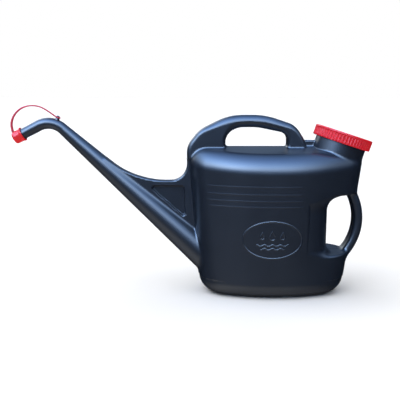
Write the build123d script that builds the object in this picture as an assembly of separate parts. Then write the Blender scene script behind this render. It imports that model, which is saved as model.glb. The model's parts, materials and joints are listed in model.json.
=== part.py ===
from build123d import *
import os
from math import cos, radians, sin, tan

# Watering can with a screw fill cap and a nozzle cap on a strap.
# Millimetres, +Z up. The origin is the middle of the flat base. The spout points to -X, the rear
# grip to +X, and y = 0 is the parting plane of the blow mould that forms the whole can.

# ---------------------------------------------------------------- driving dimensions
WALL = 2.0                      # blow-moulded wall
BEYOND = 700.0                  # longer than the can: the size of cutting blocks
TOUCH = 0.01                    # a length that is as good as none
TANK_HEIGHT = 259.5             # ridge of the top
TANK_LEFT, LEFT_DRAFT = -129.7, 4.8     # wall position at z = 0 and its draft in degrees
TANK_RIGHT, RIGHT_DRAFT = 123.8, 7.0
TANK_HALF_WIDTH, SIDE_DRAFT = 64.5, 2.9
END_RADIUS = 52.0               # round ends of the oval plan
TOP_CROWN_RADIUS = 150.0        # the top is crowned from side to side
SHOULDER_RADIUS = 29.0
BASE_RADIUS = 27.0

RECESS_BOTTOM, RECESS_TOP = 75.0, 179.0     # hand recess behind the tank
RECESS_START, RECESS_BACK = 55.0, 90.5
RECESS_CORNER, RECESS_SIDE_STEP = 46.0, 7.0     # the column behind it is this much narrower a side

GRIP_CENTRE_X, GRIP_CENTRE_Z = 54.0, 131.0  # rear grip: an arc about this point
GRIP_RADIUS = 95.0
GRIP_THICK, GRIP_WIDE, GRIP_ROUND = 16.0, 30.0, 7.0
GRIP_SWEEP = 104.0              # degrees, into the tank at both ends

HANDLE_HALF_WIDTH, HANDLE_ROUND = 16.0, 8.0

GUSSET_FRONT, GUSSET_BACK = 35.0, 90.0      # fin between the handle's rear foot and the neck
GUSSET_ROOT, GUSSET_TOP = 235.0, 270.0      # its front, back and root end inside its neighbours
GUSSET_THICK = 8.0

NECK_TILT = 18.0                # degrees from upright, leaning to +X
NECK_X, NECK_Z = 115.4, 265.4   # middle of the screw cap's lower rim, seated
NECK_OUTER, NECK_INNER = 44.0, 41.0
NECK_RIM = 15.0                 # neck rim above the cap's lower rim
NECK_ROOT = -75.0
NECK_BORE_ROOT = -45.0

THREAD_PITCH = 6.0              # right-hand
THREAD_TURNS = 1.25
THREAD_DEPTH = 1.9
THREAD_BASE, THREAD_CREST = 2.6, 1.2
THREAD_START = 4.5              # height of the neck thread's lower end above the cap's lower rim
CAP_THREAD_TURN = 90.0          # the cap's thread starts this far round, half a pitch out of step
THREAD_ROOT_SINK = 0.3          # the thread starts this far inside its wall

CAP_RADIUS = 49.3               # over the smooth wall, under the ribs
CAP_BORE = 46.6
CAP_HEIGHT = 18.5
CAP_TOP_THICK = 2.0
CAP_RIM_HEIGHT, CAP_RIM_ROUND = 3.0, 2.4    # smooth band above the ribs
CAP_RIBS, RIB_RADIUS = 60, 1.3
LINER_THICK = 1.4               # 0.1 less than the room between the neck's rim and the cap's top
LINER_RADIUS = 44.6

SPOUT_SLOPE = 42.2              # main tube, degrees above horizontal
TIP_SLOPE = 27.5                # tip, degrees below horizontal
SPOUT_CORNER_X, SPOUT_CORNER_Z = -387.6, 306.9      # where the two axes cross
BEND_RADIUS = 37.0
TIP_RADIUS = 9.25               # outside of the bend and the tip
SPOUT_ROOT_RADIUS = 26.3        # outside radius where the tube meets the tank
SPOUT_ROOT_RUN = 347.0          # from the crossing point down to that station
SPOUT_WALL = 2.0
SPOUT_END_RUN = 400.0           # the tube's cone is drawn to here, inside the tank
NOZZLE_RUN = 71.0               # from the crossing point to the open end

WEB_HALF_WIDTH = 10.0
WEB_PANEL_HALF = WALL           # in the sunk triangle the two walls are pinched together

NOZZLE_CAP_BORE = 9.45
NOZZLE_CAP_MOUTH, NOZZLE_CAP_END = 11.3, 10.6   # outside radii at the two ends
NOZZLE_CAP_LENGTH, NOZZLE_CAP_FLOOR = 18.0, 2.5
NOZZLE_CAP_ROUND = 2.5
NOZZLE_CAP_FLANGE, NOZZLE_CAP_FLANGE_THICK = 12.3, 2.5
NOZZLE_CAP_RUN = 56.0           # its mouth, from the spout's crossing point

STUD_TURN = 22.0                # around the bend from its start, in degrees
STUD_BOSS_RADIUS, STUD_BOSS_HEIGHT = 3.6, 3.1
STUD_RADIUS, STUD_HEIGHT = 2.0, 7.0
STUD_ROOT = 4.0                 # drawn to here under the spout's surface, then cut back to it
STUD_HEAD_RADIUS, STUD_HEAD_THICK = 3.2, 1.7

EYE_RADIUS, EYE_HOLE = 5.0, 2.3
STRAP_WIDE, STRAP_THICK = 5.0, 1.8
STRAP_ROUTE = [                 # X and Z of the corners that the strap's arcs round off
    (-455.0, 283.7),
    (-458.6, 292.5),
    (-457.2, 304.5),
    (-450.5, 316.5),
    (-439.0, 325.5),
    (-424.5, 329.8),
    (-408.5, 328.9),
    (-393.5, 321.0),
    (-380.5, 311.0),
]


# ---------------------------------------------------------------- helpers
def save(node, shape):
    solids = shape.solids()
    export_step(solids[0] if len(solids) == 1 else Compound(solids), f"parts/{node}.step")


def plate(face, half_width):
    """An upright plate from a face drawn in X and Z, centred on the parting plane."""
    return extrude(Plane.XZ * face, amount=half_width, both=True)


def outline(corners):
    """A closed outline from corners given as (x, z, corner radius)."""
    points = [(x, z) for x, z, _ in corners]
    return make_face(FilletPolyline(*points, radius=[r for _, _, r in corners], close=True))


def step(start, direction, distance):
    """The point that lies distance along direction from start."""
    return tuple(s + distance * d for s, d in zip(start, direction))


def standing_bar(radius, length, end_radius=None):
    """A cylinder, or with a second radius a cone, standing on the XY plane."""
    stand = (Align.CENTER, Align.CENTER, Align.MIN)
    if end_radius is None:
        return Cylinder(radius, length, align=stand)
    return Cone(radius, end_radius, length, align=stand)


def round_bar(start, direction, length, radius, end_radius=None):
    """The same bar standing on start and running along direction."""
    place = Plane(origin=start, x_dir=(0, 1, 0), z_dir=direction)
    return place * standing_bar(radius, length, end_radius)


# ---------------------------------------------------------------- reservoir
def tank_left(z):
    return TANK_LEFT - z * tan(radians(LEFT_DRAFT))


def tank_right(z):
    return TANK_RIGHT + z * tan(radians(RIGHT_DRAFT))


def tank_half_width(z):
    return TANK_HALF_WIDTH + z * tan(radians(SIDE_DRAFT))


def oval(z, inset):
    """The tank's plan at height z: two end arcs and two long side arcs, all tangent."""
    left, right = tank_left(z) + inset, tank_right(z) - inset
    half_width = tank_half_width(z) - inset
    end_radius = END_RADIUS - inset
    middle = (left + right) / 2
    reach = (right - left) / 2 - end_radius
    side_radius = (reach**2 + half_width**2 - end_radius**2) / (2 * (half_width - end_radius))
    share = end_radius / (side_radius - end_radius)
    tx = reach * (1 + share)
    ty = (side_radius - half_width) * share
    arcs = [
        ThreePointArc((middle + tx, -ty), (right, 0), (middle + tx, ty)),
        ThreePointArc((middle + tx, ty), (middle, half_width), (middle - tx, ty)),
        ThreePointArc((middle - tx, ty), (left, 0), (middle - tx, -ty)),
        ThreePointArc((middle - tx, -ty), (middle, -half_width), (middle + tx, -ty)),
    ]
    return Plane.XY.offset(z) * make_face(arcs)


def hand_recess(inset):
    """The space behind the tank for the fingers. It grows by the wall for the inside form."""
    low, high = RECESS_BOTTOM - inset, RECESS_TOP + inset
    middle = (low + high) / 2
    block = Pos(RECESS_START + BEYOND / 2, 0, middle) * Box(BEYOND, BEYOND, high - low)
    half_width = tank_half_width(RECESS_TOP) - RECESS_SIDE_STEP - inset
    column = RectangleRounded(BEYOND, 2 * half_width, RECESS_CORNER - inset)
    column = extrude(column, high - low, both=True)
    return block - Pos(RECESS_BACK - inset - BEYOND / 2, 0, middle) * column


def tank_form(inset):
    """The solid tank, with every face moved in by inset."""
    form = loft([oval(inset, inset), oval(TANK_HEIGHT, inset)], ruled=True)
    crown = Cylinder(TOP_CROWN_RADIUS - inset, BEYOND, rotation=(0, 90, 0))
    form &= Pos(0, 0, TANK_HEIGHT - TOP_CROWN_RADIUS) * crown
    upper = form.edges().filter_by(lambda e: e.bounding_box().min.Z > TANK_HEIGHT / 2)
    rim = upper.filter_by(lambda e: e.length > SHOULDER_RADIUS)
    form = fillet(rim, SHOULDER_RADIUS - inset)
    foot = form.edges().filter_by(lambda e: e.bounding_box().max.Z < inset + TOUCH)
    form = fillet(foot, BASE_RADIUS - inset)
    return form - hand_recess(inset)


# ---------------------------------------------------------------- top handle
HANDLE_OUTSIDE = [              # X, Z and corner radius, clockwise from the front foot
    (-152.5, 238.0, 2),
    (-152.5, 260.5, 34),
    (-130.5, 288.2, 50),
    (-79.0, 313.6, 110),
    (-17.3, 313.6, 130),
    (34.0, 296.5, 34),
    (51.5, 270.0, 40),
    (58.0, 230.0, 2),
    (-120.0, 225.0, 2),
]
HANDLE_HOLE = [
    (-86.0, 200.0, 2),
    (-86.0, 279.9, 23),
    (-65.3, 292.8, 38),
    (-30.2, 292.8, 90),
    (20.5, 282.4, 14),
    (21.5, 200.0, 2),
]


def handle_form(inset):
    face = offset(outline(HANDLE_OUTSIDE), -inset) - offset(outline(HANDLE_HOLE), inset)
    form = plate(face, HANDLE_HALF_WIDTH - inset)
    side = form.faces().sort_by(Axis.Y)[-1].edges() + form.faces().sort_by(Axis.Y)[0].edges()
    return fillet(side, HANDLE_ROUND - inset)


# ---------------------------------------------------------------- rear grip
def grip_form(inset):
    """A bowed bar: a rounded section turned about a cross axis in the middle of the recess."""
    section = RectangleRounded(GRIP_THICK - 2 * inset, GRIP_WIDE - 2 * inset, GRIP_ROUND - inset)
    section = Pos(GRIP_CENTRE_X + GRIP_RADIUS, 0, GRIP_CENTRE_Z) * section
    axis = Axis((GRIP_CENTRE_X, 0, GRIP_CENTRE_Z), (0, 1, 0))
    return revolve(section.rotate(axis, -GRIP_SWEEP / 2), axis, GRIP_SWEEP)


# ---------------------------------------------------------------- filler neck and screw cap
NECK_AXIS = (sin(radians(NECK_TILT)), 0.0, cos(radians(NECK_TILT)))
NECK_FRAME = Plane(origin=(NECK_X, 0, NECK_Z), x_dir=(0, 1, 0), z_dir=NECK_AXIS)


def disc(radius, low, high):
    """A cylinder about the neck's own axis, between two heights, in the neck's frame."""
    return Pos(0, 0, low) * standing_bar(radius, high - low)


def thread(radius, depth, start, turn):
    """A right-hand trapezoid thread. A negative depth points inward, for the cap."""
    path = Helix(THREAD_PITCH, THREAD_TURNS * THREAD_PITCH, radius)
    sink = -THREAD_ROOT_SINK if depth > 0 else THREAD_ROOT_SINK
    section = make_face(
        Polyline(
            (sink, -THREAD_BASE / 2),
            (depth, -THREAD_CREST / 2),
            (depth, THREAD_CREST / 2),
            (sink, THREAD_BASE / 2),
            close=True,
        )
    )
    section = Plane(origin=path @ 0, x_dir=(1, 0, 0), z_dir=path % 0) * section
    return Pos(0, 0, start) * Rot(0, 0, turn) * sweep(section, path=path, is_frenet=True)


def filler_neck(tank):
    tube = disc(NECK_OUTER, NECK_ROOT, NECK_RIM) - disc(NECK_INNER, NECK_ROOT, NECK_RIM)
    neck = NECK_FRAME * tube - tank
    return neck + NECK_FRAME * thread(NECK_OUTER, THREAD_DEPTH, THREAD_START, 0)


def fill_cap():
    around = PolarLocations(CAP_RADIUS, CAP_RIBS)
    ribbed = Circle(CAP_RADIUS) + [place * Circle(RIB_RADIUS) for place in around]
    rim_low = CAP_HEIGHT - CAP_RIM_HEIGHT
    rim = disc(CAP_RADIUS + RIB_RADIUS, rim_low, CAP_HEIGHT)
    rim = fillet(rim.faces().sort_by(Axis.Z)[-1].edges(), CAP_RIM_ROUND)
    cap = extrude(ribbed, rim_low) + rim
    cap -= disc(CAP_BORE, -1, CAP_HEIGHT - CAP_TOP_THICK)
    start = THREAD_START - THREAD_PITCH / 2 + THREAD_PITCH * CAP_THREAD_TURN / 360
    return NECK_FRAME * (cap + thread(CAP_BORE, -THREAD_DEPTH, start, CAP_THREAD_TURN))


def fill_cap_liner():
    return NECK_FRAME * disc(LINER_RADIUS, NECK_RIM, NECK_RIM + LINER_THICK)


# ---------------------------------------------------------------- spout
CORNER = (SPOUT_CORNER_X, 0.0, SPOUT_CORNER_Z)
TO_TANK = (cos(radians(SPOUT_SLOPE)), 0.0, -sin(radians(SPOUT_SLOPE)))
TO_TIP = (-cos(radians(TIP_SLOPE)), 0.0, -sin(radians(TIP_SLOPE)))
BEND_TURN = SPOUT_SLOPE + TIP_SLOPE
BEND_TANGENT = BEND_RADIUS * tan(radians(BEND_TURN / 2))
BEND_START = step(CORNER, TO_TANK, BEND_TANGENT)
BEND_END = step(CORNER, TO_TIP, BEND_TANGENT)
OVER_SPOUT = (sin(radians(SPOUT_SLOPE)), 0.0, cos(radians(SPOUT_SLOPE)))
BEND_CENTRE = step(BEND_START, OVER_SPOUT, -BEND_RADIUS)


def spout_tube_form(inset):
    growth = (SPOUT_ROOT_RADIUS - TIP_RADIUS) / (SPOUT_ROOT_RUN - BEND_TANGENT)
    length = SPOUT_END_RUN - BEND_TANGENT
    small = TIP_RADIUS - inset
    return round_bar(BEND_START, TO_TANK, length, small, small + growth * length)


def spout_nozzle_form(inset):
    """The bend and the straight tip."""
    section = Plane(origin=BEND_START, x_dir=(0, 1, 0), z_dir=TO_TANK) * Circle(TIP_RADIUS - inset)
    axis = Axis(BEND_CENTRE, (0, -1, 0))
    bend = revolve(section, axis, BEND_TURN)
    return bend + round_bar(BEND_END, TO_TIP, NOZZLE_RUN - BEND_TANGENT, TIP_RADIUS - inset)


WEB_OUTLINE = [                 # X, Z and corner radius, from the top of the spout to the handle
    (-330.0, 268.0, 2),
    (-237.8, 199.4, 160),
    (-152.5, 199.4, 30),
    (-152.5, 238.0, 2),
    (-110.0, 238.0, 2),
    (-110.0, 75.0, 2),
]
WEB_PANEL = [
    (-220.0, 190.5, 5),
    (-158.0, 190.5, 5),
    (-155.5, 133.0, 5),
]


def web_form(inset):
    """The flat web, with the sunk triangle pressed in from both sides."""
    web = plate(offset(outline(WEB_OUTLINE), -inset), WEB_HALF_WIDTH - inset)
    panel = offset(outline(WEB_PANEL), inset)
    if inset > 0:
        return web - plate(panel, WEB_HALF_WIDTH)
    depth = WEB_HALF_WIDTH - WEB_PANEL_HALF
    for side in (-1, 1):
        web -= Pos(0, side * (WEB_PANEL_HALF + depth / 2), 0) * plate(panel, depth / 2)
    return web


def handle_gusset(tank, handle):
    """A small fin that ties the handle's rear foot to the neck."""
    fin = Box(GUSSET_BACK - GUSSET_FRONT, GUSSET_THICK, GUSSET_TOP - GUSSET_ROOT)
    fin = Pos((GUSSET_FRONT + GUSSET_BACK) / 2, 0, (GUSSET_ROOT + GUSSET_TOP) / 2) * fin
    return fin - tank - handle - NECK_FRAME * disc(NECK_OUTER, NECK_ROOT, NECK_RIM)


# ---------------------------------------------------------------- nozzle cap, strap, eye and stud
STUD_ANGLE = radians(90 - SPOUT_SLOPE + STUD_TURN)
STUD_AXIS = (cos(STUD_ANGLE), 0.0, sin(STUD_ANGLE))
STUD_FOOT = step(BEND_CENTRE, STUD_AXIS, BEND_RADIUS + TIP_RADIUS)


def nozzle_cap():
    """Turned about its own axis: mouth flange, tapered wall, rounded closed end."""
    body = standing_bar(NOZZLE_CAP_MOUTH, NOZZLE_CAP_LENGTH, NOZZLE_CAP_END)
    body = fillet(body.faces().sort_by(Axis.Z)[-1].edges(), NOZZLE_CAP_ROUND)
    flange = standing_bar(NOZZLE_CAP_FLANGE, NOZZLE_CAP_FLANGE_THICK)
    bore = standing_bar(NOZZLE_CAP_BORE, NOZZLE_CAP_LENGTH - NOZZLE_CAP_FLOOR)
    place = Plane(origin=step(CORNER, TO_TIP, NOZZLE_CAP_RUN), x_dir=(0, 1, 0), z_dir=TO_TIP)
    return place * (body + flange - bore)


def strap_stud(nozzle):
    foot = step(STUD_FOOT, STUD_AXIS, -STUD_ROOT)
    stud = round_bar(foot, STUD_AXIS, STUD_ROOT + STUD_BOSS_HEIGHT, STUD_BOSS_RADIUS)
    stud += round_bar(foot, STUD_AXIS, STUD_ROOT + STUD_HEIGHT, STUD_RADIUS)
    head = step(STUD_FOOT, STUD_AXIS, STUD_HEIGHT - STUD_HEAD_THICK)
    stud += round_bar(head, STUD_AXIS, STUD_HEAD_THICK, STUD_HEAD_RADIUS, STUD_RADIUS)
    return stud - nozzle


def strap_eye():
    low = step(STUD_FOOT, STUD_AXIS, STUD_BOSS_HEIGHT)
    ring = round_bar(low, STUD_AXIS, STRAP_THICK, EYE_RADIUS)
    return ring - round_bar(low, STUD_AXIS, STRAP_THICK, EYE_HOLE)


def cap_strap(cap, eye):
    """The flat strap, standing in an arch from the cap over to the eye."""
    points = [Vector(x, 0, z) for x, z in STRAP_ROUTE]
    runs = [after - before for before, after in zip(points, points[1:])]
    turns = [a.get_angle(b) for a, b in zip(runs, runs[1:])]
    shorter = [min(a.length, b.length) for a, b in zip(runs, runs[1:])]
    radii = [0.45 * run / tan(radians(turn / 2)) for run, turn in zip(shorter, turns)]
    print("strap arc radii", [round(r, 1) for r in radii])
    path = FilletPolyline(*points, radius=radii)
    section = Plane(origin=path @ 0, x_dir=(0, 1, 0), z_dir=path % 0)
    section = section * Rectangle(STRAP_WIDE, STRAP_THICK)
    strap = sweep(section, path=path)
    print("strap length", round(path.length, 1), "volume over section times length",
          round(strap.volume / (STRAP_WIDE * STRAP_THICK * path.length), 4))
    return strap - cap - eye


# ---------------------------------------------------------------- the whole can
def main():
    os.makedirs("parts", exist_ok=True)
    tank = tank_form(0)
    handle = handle_form(0)
    grip = grip_form(0)
    tube = spout_tube_form(0)
    nozzle = spout_nozzle_form(0)

    shell = tank - tank_form(WALL)
    shell -= handle_form(WALL)
    shell -= grip_form(WALL)
    shell -= spout_tube_form(SPOUT_WALL)
    shell -= NECK_FRAME * disc(NECK_INNER, NECK_BORE_ROOT, NECK_RIM)
    half = Box(BEYOND, BEYOND, BEYOND, align=(Align.CENTER, Align.MAX, Align.CENTER))
    save("reservoir_front", shell & half)
    save("reservoir_back", shell - half)

    save("top_handle", handle - handle_form(WALL) - tank)
    save("rear_grip", grip - grip_form(WALL) - tank)
    save("filler_neck", filler_neck(tank))
    save("handle_gusset", handle_gusset(tank, handle))
    save("spout_tube", tube - spout_tube_form(SPOUT_WALL) - tank)
    save("spout_nozzle", nozzle - spout_nozzle_form(SPOUT_WALL))
    save("spout_web", web_form(0) - web_form(WALL) - tank - tube - handle)
    save("strap_stud", strap_stud(nozzle))

    save("fill_cap", fill_cap())
    save("fill_cap_liner", fill_cap_liner())

    cap = nozzle_cap()
    eye = strap_eye()
    save("nozzle_cap", cap)
    save("strap_eye", eye)
    save("cap_strap", cap_strap(cap, eye))
    print("capacity to the neck, litres", round(tank_form(WALL).volume / 1e6, 2))


if __name__ == "__main__":
    main()
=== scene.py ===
"""The looks of the watering can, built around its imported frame.

The can is one blow moulding, so one seamless skin stands for all its CAD nodes but the stud and the
eye. The skin is the zero level of a distance field: the tank, the handles, the web, the spout and the
neck, melted together.
Lengths are millimetres in the row frame until build_mesh() turns them into metres.
"""

import json
import math

import bmesh
import bpy
import numpy as np
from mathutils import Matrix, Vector

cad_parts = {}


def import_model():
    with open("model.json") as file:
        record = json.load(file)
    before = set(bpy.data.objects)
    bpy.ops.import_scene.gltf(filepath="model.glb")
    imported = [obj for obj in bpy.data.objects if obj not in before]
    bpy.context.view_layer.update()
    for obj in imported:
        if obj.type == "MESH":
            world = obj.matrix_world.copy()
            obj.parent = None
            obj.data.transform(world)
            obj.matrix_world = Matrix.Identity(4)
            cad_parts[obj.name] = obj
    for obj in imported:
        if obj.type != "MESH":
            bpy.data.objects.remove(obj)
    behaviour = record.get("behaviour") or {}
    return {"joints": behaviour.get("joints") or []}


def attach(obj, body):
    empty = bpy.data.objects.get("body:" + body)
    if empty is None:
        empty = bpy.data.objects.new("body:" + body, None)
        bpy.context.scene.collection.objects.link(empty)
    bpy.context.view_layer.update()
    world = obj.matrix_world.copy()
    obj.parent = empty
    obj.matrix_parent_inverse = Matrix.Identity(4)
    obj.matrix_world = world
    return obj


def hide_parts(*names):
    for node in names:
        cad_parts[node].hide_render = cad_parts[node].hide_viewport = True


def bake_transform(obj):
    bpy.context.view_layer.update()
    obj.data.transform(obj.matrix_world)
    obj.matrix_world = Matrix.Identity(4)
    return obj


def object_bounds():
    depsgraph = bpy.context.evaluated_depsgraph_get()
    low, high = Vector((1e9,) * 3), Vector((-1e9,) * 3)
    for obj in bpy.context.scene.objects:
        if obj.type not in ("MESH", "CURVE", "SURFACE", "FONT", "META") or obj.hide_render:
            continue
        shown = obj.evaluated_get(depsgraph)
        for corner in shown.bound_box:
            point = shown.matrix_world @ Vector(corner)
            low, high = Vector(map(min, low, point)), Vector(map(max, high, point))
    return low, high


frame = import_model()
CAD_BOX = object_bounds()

MM = 0.001


def joint(name):
    return next(j for j in frame["joints"] if j["name"] == name)


def degrees(angle):
    return math.radians(angle)


# ---------------------------------------------------------------- driving dimensions
TANK_TOP = 259.5
TANK_LEFT, LEFT_DRAFT = -129.7, degrees(4.8)
TANK_RIGHT, RIGHT_DRAFT = 123.8, degrees(7.0)
TANK_HALF_WIDTH, SIDE_DRAFT = 64.5, degrees(2.9)
END_RADIUS = 52.0               # round ends of the oval plan
TOP_SLOPE = degrees(10.5)       # both halves of the top fall from the parting ridge
RIDGE_SOFT = 3.0
SHOULDER_ROUND, BASE_ROUND = 29.0, 27.0
WALL = 2.0
GRIP_MELT, HANDLE_MELT, GUSSET_MELT = 6.0, 3.0, 1.5     # how widely the forms melt together
WEB_MELT, SPOUT_MELT, NECK_MELT = 3.0, 4.0, 2.5

RECESS_LOW, RECESS_HIGH = 75.0, 179.0
RECESS_START, RECESS_BACK = 55.0, 90.5
RECESS_CORNER, RECESS_SIDE_STEP = 46.0, 7.0
RECESS_ROOF_FILLET, RECESS_FLOOR_FILLET, RECESS_EDGE = 28.0, 12.0, 5.0

GRIP_CENTRE = (54.0, 131.0)
GRIP_RADIUS, GRIP_THICK, GRIP_WIDE, GRIP_ROUND = 95.0, 16.0, 30.0, 7.0

HANDLE_HALF_WIDTH, HANDLE_ROUND, HANDLE_FOOT_ROUND = 16.0, 12.0, 6.5
HANDLE_OUTSIDE = [              # X, Z and corner radius
    (-152.5, 238.0, 2),
    (-152.5, 260.5, 34),
    (-130.5, 288.2, 50),
    (-79.0, 313.6, 110),
    (-17.3, 313.6, 130),
    (34.0, 296.5, 34),
    (51.5, 270.0, 40),
    (58.0, 230.0, 2),
    (-120.0, 225.0, 2),
]
HANDLE_HOLE = [
    (-86.0, 252.0, 13),
    (-86.0, 279.9, 23),
    (-65.3, 292.8, 38),
    (-30.2, 292.8, 90),
    (20.5, 282.4, 14),
    (21.5, 252.0, 13),
]

GUSSET_X, GUSSET_Z, GUSSET_HALF = (35.0, 90.0), (235.0, 270.0), 4.0

NECK_AXIS = np.array(joint("cap_turn")["axis"], float)
NECK_ORIGIN = np.array(joint("cap_turn")["pos_m"], float) / MM
NECK_OUTER, NECK_INNER = 44.0, 41.0
NECK_RIM, NECK_ROOT = 15.0, -75.0
NECK_CUT, BORE_CUT = -2.0, -8.0         # where the skin hands over to the turned finish
THREAD_TURNS, THREAD_PITCH, THREAD_STEPS = 1.25, 6.0, 150

SPOUT_SLOPE, TIP_SLOPE = degrees(42.2), degrees(27.5)
CORNER = np.array((-387.6, 0.0, 306.9))
BEND_RADIUS, TIP_RADIUS = 37.0, 9.25
ROOT_RADIUS, ROOT_RUN, END_RUN = 26.3, 347.0, 400.0
NOZZLE_RUN = 71.0
TIP_CUT, TIP_BORE_CUT = 61.0, 57.0

WEB_HALF_WIDTH, WEB_ROUND = 10.0, 1.7
WEB_OUTLINE = [
    (-330.0, 264.0, 2),
    (-239.6, 199.4, 160),
    (-152.5, 199.4, 30),
    (-152.5, 238.0, 2),
    (-110.0, 238.0, 2),
    (-110.0, 75.0, 2),
]
WEB_PANEL = [
    (-220.0, 190.5, 4),
    (-158.0, 190.5, 5),
    (-155.5, 133.0, 4),
]
PANEL_HALF, PANEL_EDGE, PANEL_FILLET = 2.5, 0.9, 0.9

PARTING_HEIGHT, PARTING_WIDTH = 0.45, 0.7
RIB_HEIGHTS = (197.5, 184.5, 173.5, 163.5)      # fine raised lines on both faces
RIB_SPAN, RIB_TALL, RIB_WIDE = (-125.0, 47.0), 0.18, 0.9
BADGE_CENTRE, BADGE_HALF = (-8.0, 107.0), (50.0, 32.0)
BADGE_RING_HALF, BADGE_TALL = 0.9, 0.45
FOOT_STEP_Z, FOOT_STEP = 30.5, 1.3
FACE_START = 45.0               # the faces get their extra edges beyond this |Y|

SKIN_CELL, BORE_CELL = 2.4, 5.0
SKIN_MARGIN, SKIN_HEADROOM = 10.0, 70.0         # of the grid, round the can and over the tank
SLOPE_REACH = 0.02              # half the step that a field's slope is measured over

TO_TANK = np.array((math.cos(SPOUT_SLOPE), 0.0, -math.sin(SPOUT_SLOPE)))
OVER_SPOUT = np.array((math.sin(SPOUT_SLOPE), 0.0, math.cos(SPOUT_SLOPE)))
TO_TIP = np.array((-math.cos(TIP_SLOPE), 0.0, -math.sin(TIP_SLOPE)))
OVER_TIP = np.array((-math.sin(TIP_SLOPE), 0.0, math.cos(TIP_SLOPE)))
BEND_TANGENT = BEND_RADIUS * math.tan((SPOUT_SLOPE + TIP_SLOPE) / 2)
BEND_START = CORNER + TO_TANK * BEND_TANGENT
BEND_END = CORNER + TO_TIP * BEND_TANGENT
BEND_CENTRE = BEND_START - OVER_SPOUT * BEND_RADIUS


# ---------------------------------------------------------------- distance fields
def smooth(value, low, high):
    share = np.clip((value - low) / (high - low), 0, 1)
    return share * share * (3 - 2 * share)


def meet(a, b, radius):
    """What is inside both a and b, with the edge between them rounded."""
    rounded = np.hypot(np.maximum(a + radius, 0), np.maximum(b + radius, 0))
    return np.minimum(np.maximum(a, b) + radius, 0) + rounded - radius


def melt(a, b, width):
    """What is inside a or b, with a soft fillet where they join."""
    near = np.maximum(width - np.abs(a - b), 0) / width
    return np.minimum(a, b) - near * near * width / 4


def unit(vector):
    return vector / np.linalg.norm(vector)


def crossed(a, b):
    return a[..., 0] * b[..., 1] - a[..., 1] * b[..., 0]


class Outline:
    """A closed outline in X and Z, of straight runs and corner arcs, with its exact distance."""

    def __init__(self, corners):
        points = np.array([corner[:2] for corner in corners], float)
        radii = [corner[2] for corner in corners]
        ahead_of = np.roll(points, -1, axis=0)
        self.turning = np.sign(crossed(points, ahead_of).sum())
        self.arcs = []
        ends = []
        for back, point, ahead, radius in zip(np.roll(points, 1, axis=0), points, ahead_of, radii):
            to_back, to_ahead = unit(back - point), unit(ahead - point)
            half = math.acos(to_back @ to_ahead) / 2
            inward = unit(to_back + to_ahead)
            reach = radius / math.tan(half)
            ends.append((point + to_back * reach, point + to_ahead * reach))
            convex = -np.sign(crossed(to_back, to_ahead)) * self.turning
            centre = point + inward * radius / math.sin(half)
            self.arcs.append((centre, radius, -inward, half, convex))
        self.runs = [(a[1], b[0]) for a, b in zip(ends, ends[1:] + ends[:1])]

    def distance(self, x, z):
        best = np.full(np.broadcast(x, z).shape, np.inf)
        for start, end in self.runs:
            length = np.linalg.norm(end - start)
            along = (end - start) / length
            place = (x - start[0]) * along[0] + (z - start[1]) * along[1]
            out = ((x - start[0]) * along[1] - (z - start[1]) * along[0]) * self.turning
            out = np.where((place >= 0) & (place <= length), out, np.inf)
            best = np.where(np.abs(out) < np.abs(best), out, best)
        for centre, radius, outward, half, convex in self.arcs:
            dx, dz = x - centre[0], z - centre[1]
            far = np.hypot(dx, dz)
            in_sector = dx * outward[0] + dz * outward[1] >= far * math.sin(half)
            out = np.where(in_sector, (far - radius) * convex, np.inf)
            best = np.where(np.abs(out) < np.abs(best), out, best)
        return best


HANDLE_OUTSIDE_FORM, HANDLE_HOLE_FORM = Outline(HANDLE_OUTSIDE), Outline(HANDLE_HOLE)
WEB_FORM, PANEL_FORM = Outline(WEB_OUTLINE), Outline(WEB_PANEL)


def tank(x, y, z):
    left = TANK_LEFT - z * math.tan(LEFT_DRAFT)
    right = TANK_RIGHT + z * math.tan(RIGHT_DRAFT)
    half_width = TANK_HALF_WIDTH + z * math.tan(SIDE_DRAFT)
    reach = (right - left) / 2 - END_RADIUS
    side_radius = (reach**2 + half_width**2 - END_RADIUS**2) / (2 * (half_width - END_RADIUS))
    drop = side_radius - half_width
    across, out = np.abs(x - (left + right) / 2), np.abs(y)
    on_side = across * drop < reach * (out + drop)
    side = np.hypot(across, out + drop) - side_radius
    end = np.hypot(across - reach, out) - END_RADIUS
    wall = np.where(on_side, side, end)
    below_step = smooth(-z, -FOOT_STEP_Z - 1, -FOOT_STEP_Z + 1)
    wall = wall + FOOT_STEP * below_step * smooth(across, 75, 112)
    fall = (np.hypot(y, RIDGE_SOFT) - RIDGE_SOFT) * math.tan(TOP_SLOPE)
    top = (z - TANK_TOP + fall) * math.cos(TOP_SLOPE)
    return meet(meet(wall, top, SHOULDER_ROUND), -z, BASE_ROUND)


def hand_recess(x, y, z):
    half_width = TANK_HALF_WIDTH + RECESS_HIGH * math.tan(SIDE_DRAFT) - RECESS_SIDE_STEP
    dx, dy = x - RECESS_BACK + RECESS_CORNER, np.abs(y) - half_width + RECESS_CORNER
    column = np.minimum(np.maximum(dx, dy), 0) - RECESS_CORNER
    column = column + np.hypot(np.maximum(dx, 0), np.maximum(dy, 0))
    under_roof = meet(-column, z - RECESS_HIGH, RECESS_ROOF_FILLET)
    return np.maximum(meet(under_roof, RECESS_LOW - z, RECESS_FLOOR_FILLET), RECESS_START - x)


def rear_grip(x, y, z):
    out = np.hypot(x - GRIP_CENTRE[0], z - GRIP_CENTRE[1]) - GRIP_RADIUS
    return meet(np.abs(out) - GRIP_THICK / 2, np.abs(y) - GRIP_WIDE / 2, GRIP_ROUND)


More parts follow.
